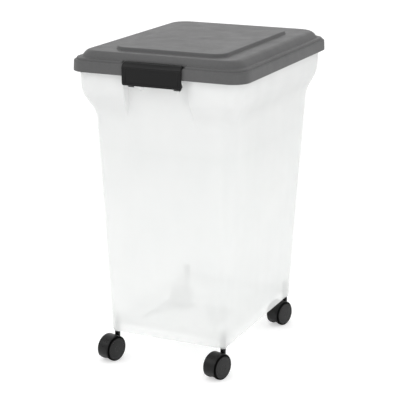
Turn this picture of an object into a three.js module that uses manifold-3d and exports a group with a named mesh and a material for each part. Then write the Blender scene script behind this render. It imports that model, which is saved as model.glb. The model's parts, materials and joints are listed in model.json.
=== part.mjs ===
import * as THREE from "three";
import { mergeVertices } from "three/addons/utils/BufferGeometryUtils.js";
import Module from "manifold-3d";

// A rolling pet food bin: a tapered translucent tub on four twin-wheel casters, with a hinged lid,
// a lid seal and a front latch whose lip holds the lid down.
// Millimetres, +Z up, +X to the right along the latch side, -Y is the front (latch) side.

const wasm = await Module();
wasm.setup();

// ---------------------------------------------------------------- driving dimensions

const RUNNING_GAP = 0.3; // radial clearance of every pin in its bore
const REACH = 2; // how far a cutting tool runs past the face it opens
const CORNER_STEPS = 3; // each rounded corner is an arc of twice this many chords

// Tub. Each section is one level of the outside: middle and half width, front and back edge, radius.
const TUB_WALL = 2.4;
const TUB_BOTTOM_Z = 60;
const FLARE_BOTTOM_Z = 497;
const FLARE_TOP_Z = 536;
const RIM_Z = 589;
const RIM_THICKNESS = 2.6;
const TUB_FOOT = { z: TUB_BOTTOM_Z, halfX: 122.6, front: -176.6, back: 176.6, radius: 20 };
const TUB_SHOULDER = { z: FLARE_BOTTOM_Z, halfX: 144, front: -192, back: 205.5, radius: 26 };
const COLLAR_LOW = { z: FLARE_TOP_Z, halfX: 164.5, front: -211.5, back: 211.5, radius: 27 };
const COLLAR_HIGH = { z: RIM_Z, halfX: 166, front: -213, back: 213, radius: 27 };
const RIM_OVERHANG = 4.8;
const RIM_RADIUS = 31;
const FLOOR_Z = 73;
const FLOOR_THICKNESS = 3;

// Front pocket in the collar, which leaves room for the latch and for a hand.
const POCKET_HALF_X = 64.5;
const POCKET_ROOF_Z = 579;
const POCKET_LOW_Z = FLARE_BOTTOM_Z - 40; // the cutting tool's foot, in front of the wall
const POCKET_SLOPE = (TUB_SHOULDER.front - TUB_FOOT.front) / (FLARE_BOTTOM_Z - TUB_BOTTOM_Z);

// Lid. The skirt hangs round the collar; a ledge, a plateau and a raised panel step up from it.
const LID_WALL = 2.2;
const SKIRT_LOW = { z: 577.5, halfX: 176.4, front: -223, back: 223, radius: 33 };
const SKIRT_HIGH = { z: 597, halfX: 175.6, front: -222.2, back: 222.2, radius: 32.4 };
const LEDGE_OUT = { z: 598, halfX: 174.4, front: -221, back: 221, radius: 31.4 };
const LEDGE_IN = { z: 598.6, halfX: 165.4, front: -212.2, back: 212.2, radius: 33 };
const PLATEAU_WALL = { z: 608, halfX: 161.8, front: -209.4, back: 209.2, radius: 33 };
const PLATEAU_EDGE = { z: 613.6, halfX: 156.5, front: -206.8, back: 205.8, radius: 32 };
const PLATEAU_TOP = { z: 616, halfX: 150.5, front: -203.6, back: 202.4, radius: 30 };
const PANEL_X = 7.5; // the raised panel sits this far right of the middle
const PANEL_LOW = { z: 615, x: PANEL_X, halfX: 113.2, front: -181.8, back: 145.8, radius: 18 };
const PANEL_HIGH = { z: 622, x: PANEL_X, halfX: 111, front: -179.5, back: 143.5, radius: 16 };
const SEAL_RIB_OUT = 162.2;
const SEAL_RIB_RADIUS = 31;
const SEAL_RIB_THICKNESS = 1.8;
const SEAL_RIB_Z = 586;
const SEAL_RIB_HEIGHT = 20;
const LENGTH_OVER_WIDTH = 47; // every ring at the rim is this much longer to front and back than to the sides

// Seal under the ledge.
const SEAL = { outX: 170.4, inX: 164.6, low: RIM_Z + RUNNING_GAP, high: 594.8, radius: 30 };

// Lid hinge at the back, two places.
const HINGE_Y = 232;
const HINGE_Z = 580;
const HINGE_X = 95;
const HINGE_BARREL_R = 6;
const HINGE_PIN_R = 2.2;
const HINGE_KNUCKLE_W = 14;
const HINGE_EAR_W = 6;
const HINGE_SIDE_GAP = 0.5;
const HINGE_EAR_FOOT = 32;
const PIN_HEAD_R = 3.8;
const PIN_HEAD_THICKNESS = 2;
const PIN_HEAD_GAP = 0.4;

// Latch, on stubs of two tub ears.
const LATCH_HALF_X = 59;
const LATCH_FRONT_Y = -227;
const LATCH_PLATE = 3;
const LATCH_LIP_Y = -212.7;
const LATCH_LIP_Z = 599.2;
const LATCH_TOP_Z = 603.4;
const LATCH_PIVOT_Y = -216;
const LATCH_PIVOT_Z = 561.4;
const LATCH_BARREL_R = 4.7;
const LATCH_STUB_R = 2.2;
const LATCH_BARREL_X = 46;
const LATCH_BARREL_W = 12;
const LATCH_EAR_W = 5.5;
const LATCH_EAR_FOOT = 15;
const LATCH_EAR_BACK = 8;
const LATCH_CORNER = 1.6;

// Casters.
const STEM_X = 113.5;
const STEM_Y = 160.5;
const WHEEL_R = 24.4;
const WHEEL_FACE_R = 21.6;
const WHEEL_IN = 8; // from the middle of the caster to the inner face of a wheel
const WHEEL_W = 8;
const CASTER_TRAIL = 17.2;
const CASTER_TURN = THREE.MathUtils.degToRad(-17);
const STEM_R = 3.9;
const STEM_LOW_Z = 38.6;
const STEM_HIGH_Z = 86.6;
const STEM_FLANGE_R = 5.6;
const SOCKET_R = 7.5;
const SOCKET_BORE_R = 5.2;
const SOCKET_LOW_Z = 57;
const SOCKET_HIGH_Z = 92;
const SOCKET_ROOF = 3;
const AXLE_R = 2.4;
const AXLE_BORE_R = AXLE_R + RUNNING_GAP;
const AXLE_BORE_DEPTH = 5.2;
const HOOD_R = 26;
const HOOD_HALF_W = 13.2;
const HOOD_WALL = 2.2;
const HOOD_LOW_Z = 10.5;
const WEB_HALF_W = 7.3;
const WHEEL_WELL_R = 24.9;
const NECK_R = 5.3;
const NECK_LOW_Z = 34;
const NECK_TOP_Z = 54.6;
const RING_LOW_Z = 76.4;
const RING_HEIGHT = 3.2;
const RING_SLOT = 1.4;
const GROOVE_DEPTH = 0.8;
const GROOVE_PLAY = 0.4;

// ---------------------------------------------------------------- materials

function plastic(color, roughness, opacity = 1) {
  return new THREE.MeshStandardMaterial({
    color,
    roughness,
    metalness: 0,
    opacity,
    transparent: opacity < 1,
  });
}

const clearPlastic = plastic(0xeff0ee, 0.38, 0.55);
const lidPlastic = plastic(0x77787a, 0.5);
const latchPlastic = plastic(0x2d2d2f, 0.4);
const casterPlastic = plastic(0x353537, 0.45);
const wheelPlastic = plastic(0x2f2f31, 0.5);
const sealRubber = plastic(0xa9aaa8, 0.85);
const steel = new THREE.MeshStandardMaterial({ color: 0xb9bcc0, roughness: 0.3, metalness: 1 });

// ---------------------------------------------------------------- solids

function solid(geometry) {
  const bare = geometry.index ? geometry.toNonIndexed() : geometry.clone();
  bare.deleteAttribute("normal");
  bare.deleteAttribute("uv");
  const merged = mergeVertices(bare, 1e-4);
  return new wasm.Manifold(
    new wasm.Mesh({
      numProp: 3,
      vertProperties: new Float32Array(merged.attributes.position.array),
      triVerts: new Uint32Array(merged.index.array),
    }),
  );
}

function geometryOf(body) {
  const mesh = body.getMesh();
  const geometry = new THREE.BufferGeometry();
  geometry.setAttribute("position", new THREE.BufferAttribute(mesh.vertProperties, 3));
  geometry.setIndex(new THREE.BufferAttribute(mesh.triVerts, 1));
  const faceted = geometry.toNonIndexed();
  faceted.computeVertexNormals();
  return faceted;
}

function union(...bodies) {
  return bodies.reduce((sum, body) => sum.add(body));
}

function cut(body, ...tools) {
  return tools.reduce((left, tool) => left.subtract(tool), body);
}

function box(x0, x1, y0, y1, z0, z1) {
  const geometry = new THREE.BoxGeometry(x1 - x0, y1 - y0, z1 - z0);
  geometry.translate((x0 + x1) / 2, (y0 + y1) / 2, (z0 + z1) / 2);
  return solid(geometry);
}

function cylinderX(radius, x0, x1, y, z, segments = 24) {
  const geometry = new THREE.CylinderGeometry(radius, radius, x1 - x0, segments);
  geometry.rotateZ(-Math.PI / 2);
  geometry.translate((x0 + x1) / 2, y, z);
  return solid(geometry);
}

function cylinderZ(radius, z0, z1, x, y, segments = 24) {
  const geometry = new THREE.CylinderGeometry(radius, radius, z1 - z0, segments);
  geometry.rotateX(Math.PI / 2);
  geometry.translate(x, y, (z0 + z1) / 2);
  return solid(geometry);
}

// A flat outline in the YZ plane, run along X.
function prismX(outline, x0, x1) {
  const shape = new THREE.Shape(outline.map(([y, z]) => new THREE.Vector2(y, z)));
  const geometry = new THREE.ExtrudeGeometry(shape, { depth: x1 - x0, bevelEnabled: false });
  const alongX = new THREE.Matrix4().makeBasis(
    new THREE.Vector3(0, 1, 0),
    new THREE.Vector3(0, 0, 1),
    new THREE.Vector3(1, 0, 0),
  );
  geometry.applyMatrix4(alongX);
  geometry.translate(x0, 0, 0);
  return solid(geometry);
}

// A turned body about Z, from [radius, z] points that start and end on the axis, lowest first.
function turned(profile, segments) {
  const points = profile.map(([r, z]) => new THREE.Vector2(r, z));
  const geometry = new THREE.LatheGeometry(points, segments);
  geometry.rotateX(Math.PI / 2);
  return solid(geometry);
}

function outlineOf(section) {
  const { x = 0, halfX, front, back, radius } = section;
  const right = x + halfX - radius;
  const left = x - halfX + radius;
  const shape = new THREE.Shape();
  shape.absarc(right, back - radius, radius, 0, Math.PI / 2, false);
  shape.absarc(left, back - radius, radius, Math.PI / 2, Math.PI, false);
  shape.absarc(left, front + radius, radius, Math.PI, 1.5 * Math.PI, false);
  shape.absarc(right, front + radius, radius, 1.5 * Math.PI, 2 * Math.PI, false);
  return shape.getPoints(CORNER_STEPS);
}

// A closed body through rounded rectangles, lowest first.
function loft(...sections) {
  const rings = sections.map(outlineOf);
  const count = rings[0].length;
  const positions = rings.flatMap((ring, level) =>
    ring.flatMap((point) => [point.x, point.y, sections[level].z]),
  );
  const index = [];
  for (let level = 0; level + 1 < rings.length; level += 1) {
    for (let i = 0; i < count; i += 1) {
      const a = level * count + i;
      const b = level * count + ((i + 1) % count);
      index.push(a, b, b + count, a, b + count, a + count);
    }
  }
  const cap = THREE.ShapeUtils.triangulateShape(rings[0], []);
  const top = (rings.length - 1) * count;
  for (const [a, b, c] of cap) {
    index.push(a, c, b);
    index.push(top + a, top + b, top + c);
  }
  const geometry = new THREE.BufferGeometry();
  geometry.setAttribute("position", new THREE.Float32BufferAttribute(positions, 3));
  geometry.setIndex(index);
  return solid(geometry);
}

// The same section moved inwards by a wall thickness, and to another level if one is given.
function inset(section, wall, z = section.z) {
  return {
    z,
    x: section.x,
    halfX: section.halfX - wall,
    front: section.front + wall,
    back: section.back - wall,
    radius: section.radius - wall,
  };
}

function between(low, high, z) {
  const t = (z - low.z) / (high.z - low.z);
  const mix = (key) => low[key] + (high[key] - low[key]) * t;
  return { z, halfX: mix("halfX"), front: mix("front"), back: mix("back"), radius: mix("radius") };
}

function rimRing(halfX, radius, z) {
  return { z, halfX, front: -halfX - LENGTH_OVER_WIDTH, back: halfX + LENGTH_OVER_WIDTH, radius };
}

// ---------------------------------------------------------------- tub

// The front wall's outer plane, carried on upwards from the foot of the tub.
function pocketY(z, depth = 0) {
  return TUB_FOOT.front + POCKET_SLOPE * (z - TUB_BOTTOM_Z) + depth;
}

function pocketPrism(halfX, low, high, depth) {
  const outside = COLLAR_HIGH.front - REACH;
  const outline = [
    [outside, low],
    [pocketY(low, depth), low],
    [pocketY(high, depth), high],
    [outside, high],
  ];
  return prismX(outline, -halfX, halfX);
}

function latchEar(side) {
  const root = pocketY(LATCH_PIVOT_Z, TUB_WALL / 2);
  const inner = LATCH_BARREL_X - LATCH_BARREL_W / 2 - HINGE_SIDE_GAP;
  const outline = [
    [root, LATCH_PIVOT_Z + LATCH_BARREL_R],
    [LATCH_PIVOT_Y, LATCH_PIVOT_Z + LATCH_BARREL_R],
    [LATCH_PIVOT_Y, LATCH_PIVOT_Z - LATCH_BARREL_R],
    [LATCH_PIVOT_Y + LATCH_EAR_BACK, LATCH_PIVOT_Z - LATCH_BARREL_R],
    [root, LATCH_PIVOT_Z - LATCH_EAR_FOOT],
  ];
  const near = side > 0 ? inner - LATCH_EAR_W : -inner;
  const plate = prismX(outline, near, near + LATCH_EAR_W);
  const nose = cylinderX(LATCH_BARREL_R, near, near + LATCH_EAR_W, LATCH_PIVOT_Y, LATCH_PIVOT_Z);
  const tip = LATCH_BARREL_X + LATCH_BARREL_W / 2 - 1;
  const from = side > 0 ? inner - 1 : -tip;
  const to = side > 0 ? tip : 1 - inner;
  const stub = cylinderX(LATCH_STUB_R, from, to, LATCH_PIVOT_Y, LATCH_PIVOT_Z, 16);
  return union(plate, nose, stub);
}

function hingeEar(x0) {
  const root = COLLAR_LOW.back - TUB_WALL / 2;
  const x1 = x0 + HINGE_EAR_W;
  const outline = [
    [root, HINGE_Z - HINGE_EAR_FOOT],
    [HINGE_Y + 4.6, HINGE_Z - 3.8],
    [HINGE_Y, HINGE_Z],
    [SKIRT_LOW.back + 1.2, HINGE_Z - 4],
    [root, HINGE_Z - 4.4],
  ];
  return union(prismX(outline, x0, x1), cylinderX(HINGE_BARREL_R, x0, x1, HINGE_Y, HINGE_Z));
}

function hingeEars(side) {
  const half = HINGE_KNUCKLE_W / 2 + HINGE_SIDE_GAP;
  const x = side * HINGE_X;
  return union(hingeEar(x - half - HINGE_EAR_W), hingeEar(x + half));
}

function hingeBore(side) {
  const half = HINGE_KNUCKLE_W / 2 + HINGE_EAR_W + REACH;
  const x = side * HINGE_X;
  return cylinderX(HINGE_PIN_R + RUNNING_GAP, x - half, x + half, HINGE_Y, HINGE_Z, 16);
}

function tubShell() {
  const rimLow = RIM_Z - RIM_THICKNESS;
  const rim = rimRing(COLLAR_HIGH.halfX + RIM_OVERHANG, RIM_RADIUS, rimLow);
  const outside = loft(TUB_FOOT, TUB_SHOULDER, COLLAR_LOW, COLLAR_HIGH);
  const flange = loft(rim, { ...rim, z: RIM_Z });
  const floorTop = FLOOR_Z + FLOOR_THICKNESS;
  const inside = loft(
    inset(between(TUB_FOOT, TUB_SHOULDER, floorTop), TUB_WALL),
    inset(TUB_SHOULDER, TUB_WALL, FLARE_BOTTOM_Z + 1),
    inset(COLLAR_LOW, TUB_WALL, FLARE_TOP_Z + 1),
    inset(COLLAR_HIGH, TUB_WALL, RIM_Z + REACH),
  );
  const underside = loft(
    inset(TUB_FOOT, TUB_WALL, TUB_BOTTOM_Z - REACH),
    inset(between(TUB_FOOT, TUB_SHOULDER, FLOOR_Z), TUB_WALL),
  );
  const pocketWall = pocketPrism(
    POCKET_HALF_X + TUB_WALL,
    POCKET_LOW_Z + TUB_WALL,
    POCKET_ROOF_Z + TUB_WALL,
    TUB_WALL,
  ).intersect(outside);
  const pocket = pocketPrism(POCKET_HALF_X, POCKET_LOW_Z, POCKET_ROOF_Z, 0);
  return cut(union(cut(union(outside, flange), inside, underside), pocketWall), pocket);
}

function tub() {
  let body = tubShell();
  for (const x of [-STEM_X, STEM_X]) {
    for (const y of [-STEM_Y, STEM_Y]) {
      const socket = cylinderZ(SOCKET_R, SOCKET_LOW_Z, SOCKET_HIGH_Z, x, y);
      const bore = cylinderZ(SOCKET_BORE_R, SOCKET_LOW_Z - REACH, SOCKET_HIGH_Z - SOCKET_ROOF, x, y);
      body = cut(union(body, socket), bore);
    }
  }
  for (const side of [-1, 1]) {
    body = union(body, latchEar(side), hingeEars(side));
    body = cut(body, hingeBore(side));
  }
  return body;
}

// ---------------------------------------------------------------- lid and seal

function lidKnuckle(side) {
  const x0 = side * HINGE_X - HINGE_KNUCKLE_W / 2;
  const x1 = x0 + HINGE_KNUCKLE_W;
  const outline = [
    [SKIRT_LOW.back - LID_WALL / 2, SKIRT_LOW.z + 0.6],
    [HINGE_Y, HINGE_Z - 3],
    [HINGE_Y, HINGE_Z + HINGE_BARREL_R],
    [SKIRT_LOW.back - LID_WALL, HINGE_Z + 2 * HINGE_BARREL_R],
  ];
  return union(prismX(outline, x0, x1), cylinderX(HINGE_BARREL_R, x0, x1, HINGE_Y, HINGE_Z));
}

function lid() {
  const outside = union(
    loft(SKIRT_LOW, SKIRT_HIGH, LEDGE_OUT, LEDGE_IN, PLATEAU_WALL, PLATEAU_EDGE, PLATEAU_TOP),
    loft(PANEL_LOW, PANEL_HIGH),
  );
  const ledgeUnder = LEDGE_IN.z - LID_WALL - 0.6;
  const insideSkirt = loft(
    inset(SKIRT_LOW, LID_WALL, SKIRT_LOW.z - REACH),
    inset(SKIRT_HIGH, LID_WALL, ledgeUnder),
  );
  const insidePlateau = loft(
    inset(LEDGE_IN, LID_WALL, ledgeUnder - 1),
    inset(PLATEAU_WALL, LID_WALL, PLATEAU_WALL.z - 1),
    inset(PLATEAU_TOP, LID_WALL / 2, PLATEAU_TOP.z - LID_WALL),
  );
  const insidePanel = loft(
    inset(PANEL_LOW, LID_WALL, PLATEAU_TOP.z - LID_WALL - 1),
    inset(PANEL_HIGH, LID_WALL, PANEL_HIGH.z - LID_WALL),
  );
  const ribOut = rimRing(SEAL_RIB_OUT, SEAL_RIB_RADIUS, SEAL_RIB_Z);
  const ribIn = inset(ribOut, SEAL_RIB_THICKNESS, SEAL_RIB_Z - REACH);
  const rib = cut(
    loft(ribOut, { ...ribOut, z: SEAL_RIB_Z + SEAL_RIB_HEIGHT }),
    loft(ribIn, { ...ribIn, z: SEAL_RIB_Z + SEAL_RIB_HEIGHT + REACH }),
  );
  let body = cut(outside, insideSkirt, insidePlateau, insidePanel);
  body = union(body, rib.intersect(outside), lidKnuckle(-1), lidKnuckle(1));
  return cut(body, hingeBore(-1), hingeBore(1));
}

function seal() {
  const outer = rimRing(SEAL.outX, SEAL.radius, SEAL.low);
  const inner = rimRing(SEAL.inX, SEAL.radius - (SEAL.outX - SEAL.inX), SEAL.low - REACH);
  return cut(
    loft(outer, { ...outer, z: SEAL.high }),
    loft(inner, { ...inner, z: SEAL.high + REACH }),
  );
}

function hingePin(side) {
  const half = HINGE_KNUCKLE_W / 2 + HINGE_EAR_W + HINGE_SIDE_GAP;
  const headHigh = -half - PIN_HEAD_GAP;
  const headLow = headHigh - PIN_HEAD_THICKNESS;
  const pin = turned(
    [
      [0, headLow],
      [PIN_HEAD_R, headLow],
      [PIN_HEAD_R, headHigh],
      [HINGE_PIN_R, headHigh],
      [HINGE_PIN_R, half],
      [HINGE_PIN_R - 0.6, half + 0.8],
      [0, half + 0.8],
    ],
    16,
  );
  const geometry = geometryOf(pin);
  geometry.rotateY((side * Math.PI) / 2);
  geometry.translate(side * HINGE_X, HINGE_Y, HINGE_Z);
  return geometry;
}

// ---------------------------------------------------------------- latch

function latch() {
  const inner = LATCH_FRONT_Y + LATCH_PLATE;
  const shell = prismX(
    [
      [LATCH_FRONT_Y, LATCH_PIVOT_Z],
      [inner, LATCH_PIVOT_Z],
      [inner, LATCH_LIP_Z],
      [LATCH_LIP_Y, LATCH_LIP_Z],
      [LATCH_LIP_Y, LATCH_TOP_Z - 0.8],
      [LATCH_LIP_Y - LATCH_CORNER, LATCH_TOP_Z],
      [LATCH_FRONT_Y + 2 * LATCH_CORNER, LATCH_TOP_Z - 0.6],
      [LATCH_FRONT_Y + 0.6 * LATCH_CORNER, LATCH_TOP_Z - LATCH_CORNER],
      [LATCH_FRONT_Y, LATCH_TOP_Z - 2 * LATCH_CORNER],
    ],
    -LATCH_HALF_X,
    LATCH_HALF_X,
  );
  let body = shell;
  const ribBack = SKIRT_LOW.front - 0.6;
  for (const x of [-LATCH_HALF_X, LATCH_HALF_X - LATCH_PLATE]) {
    body = union(body, box(x, x + LATCH_PLATE, inner - 1, ribBack, LATCH_PIVOT_Z, LATCH_LIP_Z + 1));
  }
  for (const side of [-1, 1]) {
    const x0 = side * LATCH_BARREL_X - LATCH_BARREL_W / 2;
    const x1 = x0 + LATCH_BARREL_W;
    const web = prismX(
      [
        [inner - 1, LATCH_PIVOT_Z - 1.5],
        [LATCH_PIVOT_Y, LATCH_PIVOT_Z - LATCH_BARREL_R + 0.4],
        [LATCH_PIVOT_Y, LATCH_PIVOT_Z + LATCH_BARREL_R - 0.4],
        [inner - 1, LATCH_PIVOT_Z + 9],
      ],
      x0,
      x1,
    );
    const barrel = cylinderX(LATCH_BARREL_R, x0, x1, LATCH_PIVOT_Y, LATCH_PIVOT_Z);
    const bore = cylinderX(
      LATCH_STUB_R + RUNNING_GAP,
      x0 - REACH,
      x1 + REACH,
      LATCH_PIVOT_Y,
      LATCH_PIVOT_Z,
      16,
    );
    body = cut(union(body, web, barrel), bore);
  }
  return body;
}

// ---------------------------------------------------------------- caster pieces
// Each is built round its own stem: the stem is on Z, the axle runs along X behind it.

function casterStem() {
  const flangeLow = NECK_TOP_Z + RUNNING_GAP;
  const flangeHigh = SOCKET_LOW_Z - RUNNING_GAP;
  const grooveLow = RING_LOW_Z - GROOVE_PLAY;
  const grooveHigh = RING_LOW_Z + RING_HEIGHT + GROOVE_PLAY;
  const chamfer = 1.4;
  return turned(
    [
      [0, STEM_LOW_Z],
      [STEM_R, STEM_LOW_Z],
      [STEM_R, flangeLow],
      [STEM_FLANGE_R, flangeLow],
      [STEM_FLANGE_R, flangeHigh],
      [STEM_R, flangeHigh],
      [STEM_R, grooveLow],
      [STEM_R - GROOVE_DEPTH, grooveLow],
      [STEM_R - GROOVE_DEPTH, grooveHigh],
      [STEM_R, grooveHigh],
      [STEM_R, STEM_HIGH_Z - 1.5 * chamfer],
      [STEM_R - chamfer, STEM_HIGH_Z],
      [0, STEM_HIGH_Z],
    ],
    16,
  );
}

function gripRing() {
  const high = RING_LOW_Z + RING_HEIGHT;
  const sleeve = cut(
    cylinderZ(SOCKET_BORE_R - RUNNING_GAP, RING_LOW_Z, high, 0, 0, 20),
    cylinderZ(STEM_R - GROOVE_DEPTH / 2, RING_LOW_Z - REACH, high + REACH, 0, 0, 20),
  );
  const half = RING_SLOT / 2;
  return cut(sleeve, box(-half, half, 0, SOCKET_R, RING_LOW_Z - REACH, high + REACH));
}

function casterHousing() {
  const middle = [-CASTER_TRAIL, WHEEL_R];
  const chamber = WEB_HALF_W - HOOD_WALL;
  const hood = cut(
    cylinderX(HOOD_R, -HOOD_HALF_W, HOOD_HALF_W, ...middle, 40),
    cylinderX(WHEEL_WELL_R, WEB_HALF_W, HOOD_HALF_W + REACH, ...middle, 40),
    cylinderX(WHEEL_WELL_R, -HOOD_HALF_W - REACH, -WEB_HALF_W, ...middle, 40),
    cylinderX(HOOD_R - HOOD_WALL, -chamber, chamber, ...middle, 40),
    box(-WHEEL_R, WHEEL_R, -3 * WHEEL_R, 3 * WHEEL_R, -WHEEL_R, HOOD_LOW_Z),
  );
  const hub = cylinderX(2 * AXLE_BORE_R, -chamber - 1, chamber + 1, ...middle);
  const neck = cylinderZ(NECK_R, NECK_LOW_Z, NECK_TOP_Z, 0, 0, 20);
  return cut(
    union(hood, hub, neck),
    cylinderX(AXLE_BORE_R, -WHEEL_IN, WHEEL_IN, ...middle, 16),
    cylinderZ(STEM_R + RUNNING_GAP, STEM_LOW_Z - 2 * RUNNING_GAP, NECK_TOP_Z + REACH, 0, 0, 16),
  );
}

function casterAxle() {
  const half = WHEEL_IN + AXLE_BORE_DEPTH - 2 * RUNNING_GAP;
  return cylinderX(AXLE_R, -half, half, -CASTER_TRAIL, WHEEL_R, 16);
}

// One wheel, turned about its own axle: z runs from the inner face to the domed outer face.
function wheel() {
  return turned(
    [
      [0, AXLE_BORE_DEPTH],
      [AXLE_BORE_R, AXLE_BORE_DEPTH],
      [AXLE_BORE_R, 0],
      [6.4, 0],
      [7.2, 2.2],
      [WHEEL_FACE_R - 1.4, 2.2],
      [WHEEL_FACE_R - 0.4, 0.3],
      [WHEEL_R - 1, 0.3],
      [WHEEL_R, 1.4],
      [WHEEL_R, WHEEL_W - 2.4],
      [WHEEL_R - 0.9, WHEEL_W - 1],
      [WHEEL_FACE_R, WHEEL_W - 0.4],
      [WHEEL_FACE_R - 0.8, WHEEL_W],
      [12, WHEEL_W + 0.4],
      [0, WHEEL_W + 0.5],
    ],
    32,
  );
}

function wheelGeometry(side) {
  const geometry = geometryOf(wheel());
  geometry.rotateY((side * Math.PI) / 2);
  geometry.translate(side * WHEEL_IN, -CASTER_TRAIL, WHEEL_R);
  return geometry;
}

// ---------------------------------------------------------------- assembly

function node(name, geometry, material) {
  const mesh = new THREE.Mesh(geometry, material);
  mesh.name = name;
  return mesh;
}

function caster(name, x, y) {
  const group = new THREE.Group();
  group.add(node(`${name}_caster_stem`, geometryOf(casterStem()), steel));
  group.add(node(`${name}_caster_grip_ring`, geometryOf(gripRing()), steel));
  group.add(node(`${name}_caster_housing`, geometryOf(casterHousing()), casterPlastic));
  group.add(node(`${name}_caster_axle`, geometryOf(casterAxle()), steel));
  group.add(node(`${name}_caster_left_wheel`, wheelGeometry(-1), wheelPlastic));
  group.add(node(`${name}_caster_right_wheel`, wheelGeometry(1), wheelPlastic));
  group.position.set(x, y, 0);
  group.rotation.z = CASTER_TURN;
  return group;
}

const bin = new THREE.Group();
bin.add(node("bin_body", geometryOf(tub()), clearPlastic));
bin.add(node("lid", geometryOf(lid()), lidPlastic));
bin.add(node("lid_seal", geometryOf(seal()), sealRubber));
bin.add(node("left_hinge_pin", hingePin(-1), steel));
bin.add(node("right_hinge_pin", hingePin(1), steel));
bin.add(node("latch", geometryOf(latch()), latchPlastic));
bin.add(caster("front_left", -STEM_X, -STEM_Y));
bin.add(caster("front_right", STEM_X, -STEM_Y));
bin.add(caster("rear_left", -STEM_X, STEM_Y));
bin.add(caster("rear_right", STEM_X, STEM_Y));

// The origin is on the floor, in the middle of the box that holds the whole bin.
bin.position.y = -(LATCH_FRONT_Y + HINGE_Y + HINGE_BARREL_R) / 2;

const petFoodBin = new THREE.Group();
petFoodBin.add(bin);

export default petFoodBin;
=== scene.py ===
import json
import math

import bmesh
import bpy
from mathutils import Matrix, Vector, noise


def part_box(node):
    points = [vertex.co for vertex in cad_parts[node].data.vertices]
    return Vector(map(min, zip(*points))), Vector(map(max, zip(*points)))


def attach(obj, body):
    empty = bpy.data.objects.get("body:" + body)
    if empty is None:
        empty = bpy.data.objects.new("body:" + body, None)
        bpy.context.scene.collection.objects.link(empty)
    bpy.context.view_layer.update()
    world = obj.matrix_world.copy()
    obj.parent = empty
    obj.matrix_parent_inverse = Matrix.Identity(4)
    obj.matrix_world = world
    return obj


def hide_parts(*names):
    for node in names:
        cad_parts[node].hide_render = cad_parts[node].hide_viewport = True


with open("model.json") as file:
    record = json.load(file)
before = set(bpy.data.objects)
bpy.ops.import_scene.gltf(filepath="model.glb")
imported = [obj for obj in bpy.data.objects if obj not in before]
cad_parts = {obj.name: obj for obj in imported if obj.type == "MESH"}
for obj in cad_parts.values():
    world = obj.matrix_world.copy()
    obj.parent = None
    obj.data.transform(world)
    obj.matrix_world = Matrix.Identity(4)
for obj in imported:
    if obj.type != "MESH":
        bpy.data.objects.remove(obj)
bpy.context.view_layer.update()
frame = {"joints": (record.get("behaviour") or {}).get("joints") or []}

# Lengths are written in millimetres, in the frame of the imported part, and turned into metres by MM
# when a piece is finished. The sections of tub and lid are written from the line y = MID_Y.
MM = 0.001
MID_Y = -5.5
SMOOTH_ANGLE = math.radians(34)
SHARP_ANGLE = math.radians(30)
MERGE = 1e-4
MERGE_CUT = 1e-3
BAR_SEGMENTS = 32
POST_SEGMENTS = 40
# Plain bars and cutting tools are turned a little, in radians, so that none of their edges lies on an
# edge of the body that they are joined to or cut from.
BAR_TURN = 0.061
WELL_TURN = 0.031
CHAMBER_TURN = 0.053


def mm_box(node):
    low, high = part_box(node)
    return low / MM, high / MM


def joint_at(name):
    found = next(j for j in frame["joints"] if j["name"] == name)
    return Vector(found["pos_m"]) / MM


# ------------------------------------------------------------------ sections and rings
# A section is one level of a rounded rectangle: (z, half x, front y, back y, corner radius, middle x).

CORNER_STEPS = 9
LEAST_RADIUS = 0.5
# The largest share of an edge that one end's curve may take up.
MOST_TRIM = 0.49
CURVE_STEPS = 5
# The number of points from a ring's corner to the last of its fixed places.
BEYOND_STEPS = 4


def section(z, half_x, front, back, radius, x=0.0):
    return (z, half_x, front, back, radius, x)


def even(z, half_x, radius, longer=47.0):
    """A section that stands this much longer to front and back than to the sides."""
    return section(z, half_x, -half_x - longer, half_x + longer, radius)


def mix(a, b, t):
    return tuple(p + (q - p) * t for p, q in zip(a, b))


def at_level(low, high, z):
    return mix(low, high, (z - low[0]) / (high[0] - low[0]))


def inset(sec, wall, z=None):
    level, half_x, front, back, radius, x = sec
    z = level if z is None else z
    return (z, half_x - wall, front + wall, back - wall, max(radius - wall, LEAST_RADIUS), x)


def apart(a, b):
    """The distance of two sections in height and half width."""
    return math.hypot(a[0] - b[0], a[1] - b[1])


def softened(corners, steps=CURVE_STEPS):
    """Runs through (section, trim) pairs. Each corner becomes a curve that starts trim before it."""
    out = [corners[0][0]]
    for (before, _), (here, trim), (after, _) in zip(corners, corners[1:], corners[2:]):
        if trim <= 0:
            out.append(here)
            continue
        t_in = min(trim / apart(before, here), MOST_TRIM)
        t_out = min(trim / apart(here, after), MOST_TRIM)
        start, end = mix(here, before, t_in), mix(here, after, t_out)
        for i in range(steps + 1):
            t = i / steps
            out.append(mix(mix(start, here, t), mix(here, end, t), t))
    out.append(corners[-1][0])
    return out


def divided(sections, longest):
    """Adds sections, so that no two neighbours are further apart than longest."""
    out = [sections[0]]
    for a, b in zip(sections, sections[1:]):
        count = max(1, math.ceil(apart(a, b) / longest))
        out.extend(mix(a, b, (i + 1) / count) for i in range(count))
    return out


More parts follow.
